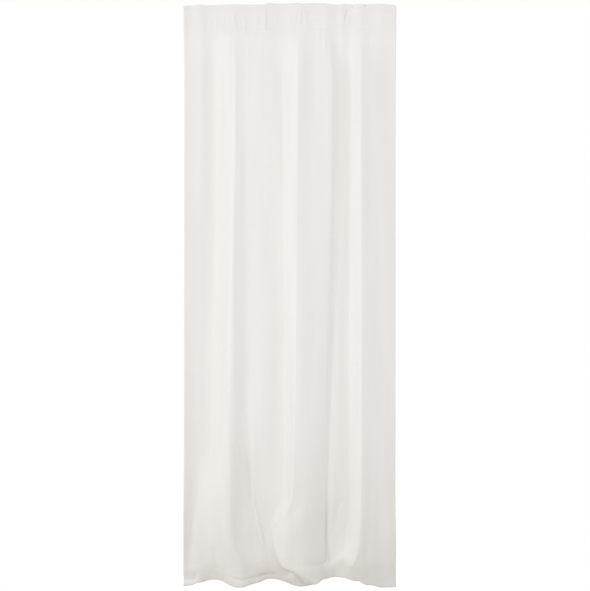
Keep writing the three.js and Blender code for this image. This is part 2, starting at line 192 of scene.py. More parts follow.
# Soft creases: (height, left, right, path of (x, below) points). left and right are how far one reaches
# to the left and right hand of someone going along the path. A height under zero is a trough.
CREASES = [
    # beside the second fold, where the cloth turns under the third
    (0.0042, 0.012, 0.011, [
        (-0.166, 2.02), (-0.16, 2.12), (-0.145, 2.21), (-0.128, 2.29), (-0.104, 2.38)]),
    # the dent beside the first fold
    (-0.003, 0.03, 0.028, [(-0.322, 2.33), (-0.318, 2.39), (-0.308, 2.455)]),
    # the dent beside the pinch
    (-0.004, 0.022, 0.018, [(0.214, 2.13), (0.204, 2.19), (0.196, 2.25), (0.192, 2.3)]),
    # the fan under the fifth fold
    (0.006, 0.03, 0.075, [(0.13, 2.462), (0.17, 2.452), (0.22, 2.412), (0.27, 2.38)]),
    (0.003, 0.014, 0.012, [(0.292, 2.35), (0.276, 2.405), (0.25, 2.442)]),
    # the rolled edge of the third fold, down to the hem
    (0.0045, 0.03, 0.015, [
        (-0.062, 2.28), (-0.054, 2.345), (-0.036, 2.39), (-0.019, 2.42), (0.0, 2.45)]),
    # the end of the pinch at the hem
    (-0.0025, 0.009, 0.009, [(0.1, 2.424), (0.13, 2.427), (0.168, 2.428)]),
    # the hem's curl, from the first fold to the third
    (-0.005, 0.012, 0.01, [
        (-0.27, 2.463), (-0.212, 2.472), (-0.15, 2.479), (-0.087, 2.477), (-0.04, 2.466)]),
    # the left corner of the hem, and a small ridge beside it
    (-0.008, 0.045, 0.012, [(-0.5, 2.474), (-0.46, 2.477), (-0.43, 2.481), (-0.39, 2.488)]),
    (0.0025, 0.012, 0.012, [(-0.3, 2.42), (-0.288, 2.45), (-0.284, 2.47)]),
    # short marks in the frill
    (-0.0038, 0.007, 0.007, [
        (0.28, 0.022), (0.258, 0.022), (0.246, 0.031), (0.242, 0.048), (0.239, 0.078)]),
    (-0.005, 0.006, 0.006, [(0.27, -0.01), (0.27, 0.003), (0.268, 0.012)]),
    (-0.004, 0.008, 0.008, [(0.33, -0.01), (0.328, 0.003), (0.327, 0.012)]),
    (-0.0025, 0.006, 0.006, [(-0.099, 0.02), (-0.1, 0.04), (-0.102, 0.062)]),
    (-0.002, 0.005, 0.005, [(0.09, 0.024), (0.086, 0.04), (0.08, 0.05)]),
    (-0.002, 0.005, 0.005, [(0.036, 0.026), (0.034, 0.05), (0.032, 0.068)]),
]
# One more, which is only on the cloth that slips under the third fold at the hem. It dies away between
# these two shares of the way from the third valley to that fold.
UNDER_CREASES = [
    (0.017, 0.055, 0.05, [(0.0, 2.442), (0.014, 2.462), (0.032, 2.486), (0.06, 2.54)]),
]
UNDER_END = (0.2, 0.45)
CREASE_POINTS = 48  # along each crease
CREASE_TAPER = 0.2  # share of a crease over which each end dies away

# Rows of sewing across the cloth, which draw it in a little, as distances below the top edge.
SEAM_IN = 0.003  # from the edge of the tape or of a side hem to its sewing
TAPE_SEAMS = [FRILL + SEAM_IN, TAPE_END - SEAM_IN]
HEM_SEAM = HEM_TOP + 0.004
SEAMS = [*TAPE_SEAMS, HEM_SEAM]
SEAM_DEPTH = 0.0004
SEAM_WIDTH = 0.013

# The top edge's rise above its line: (x, rise).
TOP_EDGE = [
    (-0.46, -0.015), (-0.454, -0.01), (-0.445, -0.008), (-0.4, -0.0055), (-0.2, -0.006),
    (-0.112, -0.0075), (-0.095, 0.0), (0.035, -0.0005), (0.056, -0.003), (0.076, -0.0005),
    (0.15, -0.001), (0.168, -0.004), (0.2, -0.005), (0.212, -0.004), (0.224, -0.001),
    (0.26, -0.002), (0.29, -0.005), (0.31, -0.005), (0.34, -0.0035), (0.38, -0.002),
    (0.442, -0.006), (0.455, -0.009), (0.46, -0.014),
]
FRILL_NOD = 0.008  # how far the frill's edge leans forward

# The directions in which the heading's plies are stacked are averaged. This dies away below the tape.
HEADING_PASSES = 30
HEADING_FADE = 0.05

# Slow unevenness of the whole cloth: how far it goes, how wide and tall its swells are, and which slice
# of the noise it takes.
UNEVEN = 0.0008
UNEVEN_WIDE, UNEVEN_TALL = 0.11, 0.5
UNEVEN_SLICE = 4.7

# Heights of the mesh rows: bands of (from, to, rows) down to the lowest puckers and to the place where
# the folds start to change, then rows a pitch apart, and closer ones in the hem.
ROW_BANDS = [(0.0, FRILL, 6), (FRILL, TAPE_END, 13), (TAPE_END, 0.19, 13), (0.19, 2.09, 43)]
LOW_PITCH = 0.0075
HEM_GAP = 0.003  # at least this much between those rows and the hem's
HEM_PITCH = 0.0045
HEM_ROWS = 19
ROWS = np.concatenate([
    *[np.linspace(top, bottom, rows, endpoint=False) for top, bottom, rows in ROW_BANDS],
    np.arange(ROW_BANDS[-1][1], HEM_TOP - HEM_GAP, LOW_PITCH),
    [HEM_TOP - HEM_PLY_END, HEM_TOP],
    np.linspace(HEM_TOP + HEM_PITCH, DROP, HEM_ROWS),
])


# ---- curves
def smooth_step(low, high, at):
    t = np.clip((at - low) / (high - low), 0, 1)
    return t * t * (3 - 2 * t)


def bump(across):
    """A smooth hump, 1 at the middle and 0 from -1 and 1 outwards."""
    return np.cos(np.clip(across, -1, 1) * math.pi / 2) ** 2


def knot_after(knots, at):
    """The number of the knot that ends the span in which a place lies."""
    return np.clip(np.searchsorted(knots, at), 1, len(knots) - 1)


def curve_between(start, end, start_slope, end_slope, span, t):
    """The smooth curve over a span from one point and slope to another, at a share t of the way."""
    ease = t * t * (3 - 2 * t)
    return (start * (1 - ease) + end * ease
            + start_slope * span * t * (1 - t) ** 2 - end_slope * span * t * t * (1 - t))


def gentle_slopes(knots, values):
    """Slopes of a smooth curve through the points that never overshoots: level at each high and low."""
    gap = np.diff(knots).reshape((-1,) + (1,) * (values.ndim - 1))
    rise = np.diff(values, axis=0) / gap
    before, after = rise[:-1], rise[1:]
    same_way = before * after > 0
    total = np.where(same_way, before + after, 1.0)
    middle = np.where(same_way, 2 * before * after / total, 0.0)
    return np.concatenate([rise[:1], middle, rise[-1:]])


FOLD_TABLE = np.array([[fold[3][level] for fold in FOLDS] for level in range(len(LEVELS))])
FOLD_SLOPES = gentle_slopes(np.array(LEVELS), FOLD_TABLE)


def fold_points(below):
    """x, out and round of each crest and valley at a height."""
    at = min(max(below, LEVELS[0]), LEVELS[-1])
    k = knot_after(LEVELS, at)
    span = LEVELS[k] - LEVELS[k - 1]
    t = (at - LEVELS[k - 1]) / span
    return curve_between(FOLD_TABLE[k - 1], FOLD_TABLE[k], FOLD_SLOPES[k - 1], FOLD_SLOPES[k], span, t)


# A flank is the cloth between one row of the table and the next. Each mesh column lies on one of them,
# at a share of the way across it.
FLANK_COLUMNS = [max(1, round(fold[1] * COLUMNS)) for fold in FOLDS[:-1]]
FLANK = np.concatenate([[0]] + [[i] * n for i, n in enumerate(FLANK_COLUMNS)])
FLANK_T = np.concatenate([[0.0]] + [np.arange(1, n + 1) / n for n in FLANK_COLUMNS])


def plan_curve(below, deepen):
    """x and out of each mesh column at a height, the folds deepened by a factor."""
    points = fold_points(below)
    x, out, reach = points[:, 0], points[:, 1] * deepen, points[:, 2]
    slope = gentle_slopes(x, out)
    width = np.diff(x)
    tuck = np.zeros_like(width)
    tuck[TUCKED] = TUCK * smooth_step(TUCK_START, HEM_TOP, below)
    leave, arrive = (reach[:-1] + tuck) * width, (reach[1:] + tuck) * width
    corners = (
        (x[:-1], out[:-1]),
        (x[:-1] + leave, out[:-1] + leave * slope[:-1]),
        (x[1:] - arrive, out[1:] - arrive * slope[1:]),
        (x[1:], out[1:]),
    )
    t, s = FLANK_T, 1 - FLANK_T
    shares = (s ** 3, 3 * s * s * t, 3 * s * t * t, t ** 3)
    return [sum(share * corner[axis][FLANK] for share, corner in zip(shares, corners))
            for axis in (0, 1)]


def running_length(x, out):
    return np.concatenate([[0.0], np.cumsum(np.hypot(np.diff(x), np.diff(out)))])


def deepening(below):
    """How much the folds are deepened at a height so that they take up the full width of the cloth."""
    low, high = 0.0, DEEPEST
    for _ in range(DEEPENING_STEPS):
        middle = (low + high) / 2
        if running_length(*plan_curve(below, middle))[-1] < FLAT_WIDTH:
            low = middle
        else:
            high = middle
    return high


# How much lower the hem hangs at each mesh column.
SAG = np.array([fold[2] for fold in FOLDS])
COLUMN_EASE = smooth_step(0, 1, FLANK_T)
COLUMN_SAG = SAG[FLANK] * (1 - COLUMN_EASE) + SAG[FLANK + 1] * COLUMN_EASE


# ---- the cloth's middle surface
# Three things that take the cloth out a little, at the x of each mesh column and a height.
def pucker_out(x, below):
    total = np.zeros_like(x)
    for place, width, ridge, top, bottom, lean in PUCKERS:
        share = (below - top) / (bottom - top)
        across = (x - place - lean * (share - 0.5)) / (width / 2) - PUCKER_PEAK
        side = np.where(across < 0, 1 + PUCKER_PEAK, 1 - PUCKER_PEAK)
        rise = smooth_step(top - PUCKER_FADE, top + PUCKER_FADE, below)
        fall = 1 - smooth_step(bottom - PUCKER_FADE, bottom + PUCKER_FADE, below)
        total += ridge * rise * fall * bump(across / side)
    return total


def crease_line(path):
    """Points along a crease, and the share of its height that it has at each."""
    path = np.array(path)
    knots = np.concatenate([[0.0], np.cumsum(np.linalg.norm(np.diff(path, axis=0), axis=1))])
    slopes = np.gradient(path, knots, axis=0)
    at = np.linspace(0, knots[-1], CREASE_POINTS)
    k = knot_after(knots, at)
    span = (knots[k] - knots[k - 1])[:, None]
    t = (at[:, None] - knots[k - 1][:, None]) / span
    line = curve_between(path[k - 1], path[k], slopes[k - 1], slopes[k], span, t)
    share = at / knots[-1]
    return line, smooth_step(0, CREASE_TAPER, share) * (1 - smooth_step(1 - CREASE_TAPER, 1, share))


def crease_lines(creases):
    return [(height, left, right, *crease_line(path)) for height, left, right, path in creases]


OPEN_LINES, UNDER_LINES = crease_lines(CREASES), crease_lines(UNDER_CREASES)
IS_UNDER = 1 - smooth_step(TUCKED + UNDER_END[0], TUCKED + UNDER_END[1], FLANK + FLANK_T)


def crease_out(lines, x, below):
    total = np.zeros_like(x)
    for height, left, right, line, strength in lines:
        reach = max(left, right)
        if not line[:, 1].min() - reach < below < line[:, 1].max() + reach:
            continue
        gap_x, gap_down = x[:, None] - line[:, 0], below - line[:, 1]
        gaps = np.hypot(gap_x, gap_down)
        nearest = gaps.argmin(axis=1)
        columns = np.arange(len(x))
        ahead = np.gradient(line, axis=0)[nearest]
        to_left = gap_x[columns, nearest] * ahead[:, 1] - gap_down[nearest] * ahead[:, 0] > 0
        share = gaps[columns, nearest] / np.where(to_left, left, right)
        total += height * strength[nearest] * bump(share)
    return total


def uneven_out(x, below):
    places = [Vector((at / UNEVEN_WIDE, below / UNEVEN_TALL, UNEVEN_SLICE)) for at in x]
    return UNEVEN * np.array([noise.noise(place) for place in places])


def cloth_row(below, deepen):
    """The middle surface's points at a height."""
    x, out = plan_curve(below, deepen)
    seam = sum(bump((below - at) / (SEAM_WIDTH / 2)) for at in SEAMS)
    frill = 1 - smooth_step(0, FRILL, below)
    creases = crease_out(OPEN_LINES, x, below) + IS_UNDER * crease_out(UNDER_LINES, x, below)
    out = out + pucker_out(x, below) + creases + uneven_out(x, below)
    out = out - SEAM_DEPTH * seam + FRILL_NOD * frill
    rise = frill * np.interp(x, *zip(*TOP_EDGE))
    sag = COLUMN_SAG * smooth_step(SWELL, DROP, below)
    return np.stack([x, -out, rise - below - sag], axis=1)


def unit(vectors):
    return vectors / np.linalg.norm(vectors, axis=-1, keepdims=True)


def evened(normals, passes):
    """Normals averaged along each row, so that the plies laid on them don't fold over."""
    for _ in range(passes):
        wide = np.concatenate([normals[:, :1], normals, normals[:, -1:]], axis=1)
        normals = unit(wide[:, :-2] + 2 * normals + wide[:, 2:])
    return normals


def cloth_surface():
    """Points, normals and places across of the middle surface, as rows of columns."""
    deepen = [deepening(max(below, UPPER)) for below in ROWS]
    points = np.array([cloth_row(below, factor) for below, factor in zip(ROWS, deepen)])
    down = np.gradient(points, ROWS, axis=0)
    along = np.gradient(points, axis=1)
    normals = unit(np.cross(down, along))
    heading = 1 - smooth_step(TAPE_END, TAPE_END + HEADING_FADE, ROWS)[:, None, None]
    normals = unit(normals * (1 - heading) + evened(normals, HEADING_PASSES) * heading)
    lengths = np.array([running_length(row[:, 0], row[:, 1]) for row in points])
    across = lengths / lengths[:, -1:] * FLAT_WIDTH
    return points + np.array(heading_point), normals, across


POINTS, NORMALS, ACROSS = cloth_surface()
FLAT_PLACES = np.stack([ACROSS, np.broadcast_to(-ROWS[:, None], ACROSS.shape)], axis=-1)
FROM_SIDE = np.minimum(ACROSS, FLAT_WIDTH - ACROSS)


def turned_in():
    """Where the cloth is turned in: 1 on the hems and behind the heading, 0 elsewhere."""
    hem = smooth_step(HEM_TOP - HEM_PLY_END, HEM_TOP, ROWS)
    top = 1 - smooth_step(TAPE_END + TOP_PLY_END[0], TAPE_END + TOP_PLY_END[1], ROWS)
    sides = 1 - smooth_step(SIDE_HEM, SIDE_HEM + SIDE_PLY_END, FROM_SIDE)
    return np.maximum(np.maximum(hem, top)[:, None], sides)


TURNED = turned_in()
BACK_LIFT = -VELVET / 2 - PLY * TURNED
SURFACE = np.concatenate([POINTS, NORMALS, BACK_LIFT[..., None]], axis=-1)


def on_row(row, across):
    """A mesh row's point, normal and back lift at a place across."""
    k = knot_after(ACROSS[row], across)
    share = (across - ACROSS[row][k - 1]) / (ACROSS[row][k] - ACROSS[row][k - 1])
    return SURFACE[row][k - 1] * (1 - share) + SURFACE[row][k] * share


def on_cloth(across, below):
    """Point, normal and back lift of the cloth at flat places."""
    across, below = np.broadcast_arrays(across, below)
    found = np.empty((*across.shape, SURFACE.shape[-1]))
    for place in np.ndindex(across.shape):
        row = knot_after(ROWS, below[place])
        share = (below[place] - ROWS[row - 1]) / (ROWS[row] - ROWS[row - 1])
        found[place] = (1 - share) * on_row(row - 1, across[place]) + share * on_row(row, across[place])
    return found[..., :3], unit(found[..., 3:6]), found[..., 6]


# ---- meshes
def placed(name, data):
    """A new object in the scene."""
    thing = bpy.data.objects.new(name, data)
    bpy.context.scene.collection.objects.link(thing)
    return thing


def add_piece(name, vertices, faces, materials):
    """A smooth mesh object that rides on the curtain's one body."""
    mesh = bpy.data.meshes.new(name)
    mesh.from_pydata(vertices.tolist(), [], faces)
    for material in materials:
        mesh.materials.append(material)
    mesh.polygons.foreach_set("use_smooth", [True] * len(mesh.polygons))
    piece = placed(name, mesh)
    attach(piece, "root")
    return piece


def border_of(number):
    """The outermost numbers of a grid as a loop, from its first corner down its first side."""
    return np.concatenate([number[:, 0], number[-1, 1:], number[-2::-1, -1], number[0, -2:0:-1]])


def closed_grid(front, back):
    """Vertices and faces of a closed sheet between two grids of points, with a rounded edge, and the
    number of each vertex's place in the grid. The front's faces come first, then the back's."""
    rows, columns = front.shape[:2]
    count = rows * columns
    number = np.arange(count).reshape(rows, columns)
    border = border_of(number)
    inner = border_of(np.clip(np.arange(rows), 1, rows - 2)[:, None] * columns
                      + np.clip(np.arange(columns), 1, columns - 2))
    flat_front, flat_back = front.reshape(-1, 3), back.reshape(-1, 3)
    half = np.linalg.norm(flat_front[border] - flat_back[border], axis=1, keepdims=True) / 2
    middle = (flat_front + flat_back) / 2
    edge = middle[border] + unit(middle[border] - middle[inner]) * half
    vertices = np.concatenate([flat_front, flat_back, edge])

    a, b, c, d = number[:-1, :-1], number[1:, :-1], number[1:, 1:], number[:-1, 1:]
    quads = np.stack([a, b, c, d], axis=-1).reshape(-1, 4)
    after = np.roll(np.arange(len(border)), -1)
    this_edge = 2 * count + np.arange(len(border))
    near = np.stack([border, this_edge, this_edge[after], border[after]], axis=-1)
    far = np.stack([this_edge, border + count, border[after] + count, this_edge[after]], axis=-1)
    faces = np.concatenate([quads, quads[:, ::-1] + count, near, far])
    return vertices, faces, np.concatenate([np.arange(count), np.arange(count), border])


def lay_flat(piece, faces, places):
    """Gives a piece the flat cloth place of each vertex as its UV map."""
    layer = piece.data.uv_layers.new(name="flat_cloth")
    layer.data.foreach_set("uv", places[faces.reshape(-1)].reshape(-1))


THREAD_SIDES = 6
THREAD_TIP = 0.4  # of the thread's radius, at its two ends


def threads(name, lines, normals, radius, material, slot):
    """Closed round threads along lines of points, thinner at their two ends."""
    count, length = lines.shape[:2]
    along = unit(np.gradient(lines, axis=1))
    side = unit(np.cross(along, normals))
    up = np.cross(side, along)
    turn = np.arange(THREAD_SIDES) * 2 * math.pi / THREAD_SIDES
    thick = np.full(length, radius)
    thick[[0, -1]] *= THREAD_TIP
    ring = side[:, :, None] * np.cos(turn)[:, None] + up[:, :, None] * np.sin(turn)[:, None]
    vertices = lines[:, :, None] + ring * thick[:, None, None]
    number = np.arange(count * length * THREAD_SIDES).reshape(count, length, THREAD_SIDES)
    after = np.roll(number, -1, axis=2)
    walls = np.stack([number[:, :-1], number[:, 1:], after[:, 1:], after[:, :-1]], axis=-1)
    ends = np.concatenate([number[:, 0], number[:, -1, ::-1]])
    faces = walls.reshape(-1, 4).tolist() + ends.tolist()
    add_piece(name, vertices.reshape(-1, 3), faces, [material])


# ---- materials
VELVET_DARK, VELVET_LIGHT = (0.858, 0.835, 0.81), (0.896, 0.873, 0.848)
GROUND_DARK, GROUND_LIGHT = (0.78, 0.75, 0.71), (0.85, 0.825, 0.79)
TAPE_DARK, TAPE_LIGHT = (0.80, 0.79, 0.76), (0.90, 0.895, 0.87)
THREAD_DARK, THREAD_LIGHT = (0.76, 0.74, 0.71), (0.87, 0.855, 0.83)
HEADING_SHADE_END, HEADING_SHADE_FADE = 0.12, 0.04  # painted shade: the cloth's colour is made a shade darker above this, over the heading
WAVE_PERIOD = math.pi / 10  # of Blender's wave texture at a scale of 1


def new_material(name, base, roughness, specular=0.2):
    material = bpy.data.materials.new(name)
    material.use_nodes = True
    nodes = material.node_tree.nodes
    shader = nodes["Principled BSDF"]
    shader.inputs["Base Color"].default_value = (*base, 1)
    shader.inputs["Roughness"].default_value = roughness
    shader.inputs["Specular IOR Level"].default_value = specular
    return material, nodes, material.node_tree.links, shader


def flat_places(nodes):
    """The flat cloth place that lay_flat gave each point."""
    source = nodes.new("ShaderNodeUVMap")
    source.uv_map = "flat_cloth"
    return source.outputs["UV"]


def stretched(nodes, links, source, across, down):
    """Places in which one unit is this far across and down."""
    mapping = nodes.new("ShaderNodeMapping")
    mapping.inputs["Scale"].default_value = (1 / across, 1 / down, 1)
    links.new(source, mapping.inputs["Vector"])
    return mapping.outputs["Vector"]


def cloudy(nodes, links, source, size, detail=2.0):
    """Noise whose patches are about as wide as size."""
    texture = nodes.new("ShaderNodeTexNoise")
    texture.inputs["Scale"].default_value = 1 / size
    texture.inputs["Detail"].default_value = detail
    links.new(source, texture.inputs["Vector"])
    return texture.outputs["Fac"]


def above(nodes, links, source, level, fade):
    """1 on the cloth above a flat height and 0 below it."""
    split = nodes.new("ShaderNodeSeparateXYZ")
    links.new(source, split.inputs[0])
    spread = nodes.new("ShaderNodeMapRange")
    spread.inputs["From Min"].default_value = level - fade
    spread.inputs["From Max"].default_value = level + fade
    links.new(split.outputs["Y"], spread.inputs["Value"])
    return spread.outputs["Result"]


def ribs(nodes, links, source, pitch, direction):
    """Even threads a pitch apart, lying side by side along a direction."""
    texture = nodes.new("ShaderNodeTexWave")
    texture.bands_direction = direction
    texture.inputs["Scale"].default_value = WAVE_PERIOD / pitch
    links.new(source, texture.inputs["Vector"])
    return texture.outputs["Fac"]


def sum_of(nodes, links, first, second, share):
    """first and a share of second."""
    total = nodes.new("ShaderNodeMath")
    total.operation = "MULTIPLY_ADD"
    links.new(second, total.inputs[0])
    total.inputs[1].default_value = share
    links.new(first, total.inputs[2])
    return total.outputs[0]


def shade(nodes, links, shader, amount, low, high, dark, light):
    """Colours the shader from dark to light as the amount goes from low to high."""
    ramp = nodes.new("ShaderNodeValToRGB")
    first, last = ramp.color_ramp.elements
    first.position, last.position = low, high
    first.color, last.color = (*dark, 1), (*light, 1)
    links.new(amount, ramp.inputs["Fac"])
    links.new(ramp.outputs["Color"], shader.inputs["Base Color"])


def roughen(nodes, links, shader, amount, low, high):
    """Makes the shader's roughness go from low to high with the amount."""
    spread = nodes.new("ShaderNodeMapRange")
    spread.inputs["To Min"].default_value = low
    spread.inputs["To Max"].default_value = high
    links.new(amount, spread.inputs["Value"])
    links.new(spread.outputs["Result"], shader.inputs["Roughness"])


def raise_surface(nodes, links, shader, layers):
    """Bumps the shader by (height socket, distance, strength) layers."""
    normal = None
    for height, distance, strength in layers:
        layer = nodes.new("ShaderNodeBump")
        layer.inputs["Distance"].default_value = distance
        layer.inputs["Strength"].default_value = strength
        links.new(height, layer.inputs["Height"])
        if normal:
            links.new(normal, layer.inputs["Normal"])
        normal = layer.outputs["Normal"]
    links.new(normal, shader.inputs["Normal"])


def velvet_face():
    """Short dense pile: soft strokes down the drop where the nap lies differently, brushed marks in it,
    and fine tufts, with painted shade that darkens the colour over the heading."""
    material, nodes, links, shader = new_material("velvet_face", VELVET_LIGHT, 0.95, specular=0.15)
    shader.inputs["Sheen Weight"].default_value = 0.3
    shader.inputs["Sheen Roughness"].default_value = 0.4
    places = flat_places(nodes)
    long_places = stretched(nodes, links, places, across=0.05, down=0.6)
    short_places = stretched(nodes, links, places, across=0.004, down=0.016)
    strokes = cloudy(nodes, links, long_places, size=1.0, detail=3.0)
    nap = cloudy(nodes, links, places, size=0.03, detail=3.0)
    brushed = cloudy(nodes, links, short_places, size=1.0, detail=3.0)
    tufts = cloudy(nodes, links, places, size=0.0008, detail=1.0)
    # painted shade: 1 over the heading and 0 below it
    painted_heading_shade = above(nodes, links, places, -HEADING_SHADE_END, HEADING_SHADE_FADE)
    tone = sum_of(nodes, links, strokes, tufts, share=0.5)
    # the painted shade takes the colour down a shade over the heading
    tone = sum_of(nodes, links, tone, painted_heading_shade, share=-0.35)
    shade(nodes, links, shader, tone, 0.5, 1.0, VELVET_DARK, VELVET_LIGHT)
    roughen(nodes, links, shader, tufts, 0.88, 1.0)
    layers = [(nap, 0.0012, 0.3), (brushed, 0.0008, 0.5), (tufts, 0.0005, 0.8)]
    raise_surface(nodes, links, shader, layers)
    return material


def velvet_ground():
    """The woven back of the velvet: plain weave with slubs."""
    material, nodes, links, shader = new_material("velvet_ground", GROUND_LIGHT, 0.9)
    places = flat_places(nodes)
    warp = ribs(nodes, links, places, pitch=0.0007, direction="X")
    weft = ribs(nodes, links, places, pitch=0.0009, direction="Y")
    slub_places = stretched(nodes, links, places, across=0.02, down=0.0015)
    slubs = cloudy(nodes, links, slub_places, size=1.0)
    weave = sum_of(nodes, links, warp, weft, share=0.8)
    tone = sum_of(nodes, links, slubs, weave, share=0.25)
    shade(nodes, links, shader, tone, 0.45, 1.0, GROUND_DARK, GROUND_LIGHT)
    roughen(nodes, links, shader, slubs, 0.8, 1.0)
    raise_surface(nodes, links, shader, [(weave, 0.0003, 0.6), (slubs, 0.0003, 0.3)])
    return material


def tape_weave():
    """Close ribs down the tape, crossed by finer picks."""
    material, nodes, links, shader = new_material("tape_weave", TAPE_LIGHT, 0.8)
    places = flat_places(nodes)
    ends = ribs(nodes, links, places, pitch=0.0011, direction="X")
    picks = ribs(nodes, links, places, pitch=0.0006, direction="Y")
    worn = cloudy(nodes, links, places, size=0.012, detail=3.0)
    weave = sum_of(nodes, links, ends, picks, share=0.5)
    tone = sum_of(nodes, links, worn, weave, share=0.2)
    shade(nodes, links, shader, tone, 0.4, 1.0, TAPE_DARK, TAPE_LIGHT)
    roughen(nodes, links, shader, worn, 0.7, 0.95)
    raise_surface(nodes, links, shader, [(weave, 0.0004, 0.7)])
    return material


def twisted(name, dark, light, lay):
    """Spun thread or cord, its strands lying a lay apart."""
    material, nodes, links, shader = new_material(name, light, 0.7)
    places = nodes.new("ShaderNodeTexCoord").outputs["Object"]
    strands = ribs(nodes, links, places, pitch=lay, direction="DIAGONAL")
    fuzz = cloudy(nodes, links, places, size=lay * 3)
    tone = sum_of(nodes, links, fuzz, strands, share=0.4)
    shade(nodes, links, shader, tone, 0.4, 1.0, dark, light)
    roughen(nodes, links, shader, fuzz, 0.6, 0.85)
    raise_surface(nodes, links, shader, [(strands, lay / 4, 0.6)])
    return material


# ---- pieces
ROUNDING = 1e-6  # allowed where mesh rows are picked by their heights


def velvet_cloth():
    front = POINTS + NORMALS * VELVET / 2
    back = POINTS + NORMALS * BACK_LIFT[..., None]
    vertices, faces, grid = closed_grid(front, back)
    materials = [velvet_face(), velvet_ground()]
    piece = add_piece("velvet_cloth", vertices, faces.tolist(), materials)
    lay_flat(piece, faces, FLAT_PLACES.reshape(-1, 2)[grid])
    # The back has pile only where the cloth is turned in, and shows its ground elsewhere.
    pile = (TURNED[:-1, :-1] * TURNED[1:, 1:] > 0.5).reshape(-1)
    numbers = np.zeros(len(faces), dtype=int)
    numbers[len(pile):2 * len(pile)] = np.where(pile, 0, 1)
    piece.data.polygons.foreach_set("material_index", numbers)
    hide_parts("velvet_panel")


def gathering_tape(weave):
    taped = np.flatnonzero((ROWS > FRILL - ROUNDING) & (ROWS < TAPE_END + ROUNDING))
    between = np.flatnonzero(FROM_SIDE[taped[0]] >= TAPE_INSET)
    grid = np.ix_(taped, between)
    front = POINTS[grid] + NORMALS[grid] * TAPE_FRONT
    back = POINTS[grid] + NORMALS[grid] * TAPE_BACK
    vertices, faces, numbers = closed_grid(front, back)
    piece = add_piece("gathering_tape", vertices, faces.tolist(), [weave])
    lay_flat(piece, faces, FLAT_PLACES[grid].reshape(-1, 2)[numbers])
    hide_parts("heading_tape")


# The tape's hook pockets are bands a little proud of it, in three rows.
POCKET_ROWS = [0.0125, 0.0375, 0.0625]  # middles, below the tape's top edge
POCKET_PITCH = 0.0125
POCKET_START, POCKET_STOP = 0.006, 0.004  # free tape before the first and behind the last
POCKET_WIDTH, POCKET_HEIGHT, POCKET_BAND = 0.0075, 0.015, 0.0006
POCKET_ARCH = np.array([0.0, 0.7, 1.0, 0.7, 0.0]) * 0.0011  # rise of a band at even steps across it
POCKET_SINK = 0.0002  # of a band's two sides in the tape
POCKET_STEPS = 3  # points down a band


def tape_pockets(weave):
    vertices, faces, places = [], [], []
    count = 0
    last = FLAT_WIDTH - TAPE_INSET - POCKET_WIDTH - POCKET_STOP
    for row in POCKET_ROWS:
        for left in np.arange(TAPE_INSET + POCKET_START, last, POCKET_PITCH):
            across = left + np.linspace(0, POCKET_WIDTH, len(POCKET_ARCH))
            down = np.linspace(-POCKET_HEIGHT / 2, POCKET_HEIGHT / 2, POCKET_STEPS)
            below = FRILL + row + down[:, None]
            points, normals, _ = on_cloth(across, below)
            front = points + normals * (TAPE_BACK + POCKET_SINK - POCKET_ARCH)[:, None]
            corner, face, grid = closed_grid(front, front - normals * POCKET_BAND)
            flat = np.stack(np.broadcast_arrays(across, -below), axis=-1).reshape(-1, 2)
            vertices.append(corner)
            faces.append(face + count)
            places.append(flat[grid])
            count += len(corner)
    faces = np.concatenate(faces)
    piece = add_piece("tape_pockets", np.concatenate(vertices), faces.tolist(), [weave])
    lay_flat(piece, faces, np.concatenate(places))


CORD_RADIUS = 0.0007
CORD_ROWS = [0.025, 0.05]  # below the tape's top edge
CORD_INSET = 0.004  # free tape beyond the ends of the cords
CORD_FLOAT = 0.0125  # from one float of the cord over the tape to the next
CORD_POINTS = 6  # along each float
CORD_LAY = 0.0012


def draw_cords():
    """The cords that gather the tape, showing where they float over its back."""
    first, last = TAPE_INSET + CORD_INSET, FLAT_WIDTH - TAPE_INSET - CORD_INSET
    across = np.arange(first, last, CORD_FLOAT / CORD_POINTS)
    points, normals, _ = on_cloth(across, FRILL + np.array(CORD_ROWS)[:, None])
    wave = np.cos(across / CORD_FLOAT * 2 * math.pi)
    lines = points + normals * (TAPE_BACK - CORD_RADIUS * wave)[:, None]
    cord = twisted("cord_twist", TAPE_DARK, TAPE_LIGHT, CORD_LAY)
    threads("draw_cords", lines, normals, CORD_RADIUS, cord, "tape")


THREAD = 0.00022  # radius
THREAD_LAY = 0.0006
STITCH = 0.0034
STITCH_PITCH = 0.0044
STITCH_POINTS = np.array([0, 1 / 3, 2 / 3, 1]) * STITCH
STITCH_RISE = np.array([-1.2, 0.6, 0.6, -1.2]) * THREAD  # the middle stands proud, the ends sink in
TAPE_SIDE_SEAM = 0.004  # from each side end of the tape to its sewing
# From the ends of a row of stitches to the edges that it runs between: in general, for the rows along
# the tape, and for the upper end of the side hems' rows.
ROW_END = 0.004
TAPE_ROW_END = 0.002
SIDE_ROW_END = 0.012


def stitch_row(first, last):
    """Places along a row of stitches, with the points of one stitch in each line."""
    return np.arange(first, last - STITCH, STITCH_PITCH)[:, None] + STITCH_POINTS


def stitched(rows):
    """Lines and normals of the stitches in rows of (across, below, lift), where a lift of None stands
    for the cloth's back."""
    lines, facing = [], []
    for across, below, lift in rows:
        points, normals, back = on_cloth(across, below)
        outward = 1 if lift is not None and lift > 0 else -1
        height = (back if lift is None else lift) + outward * STITCH_RISE
        lines.append(points + normals * height[..., None])
        facing.append(normals)
    return np.concatenate(lines), np.concatenate(facing)


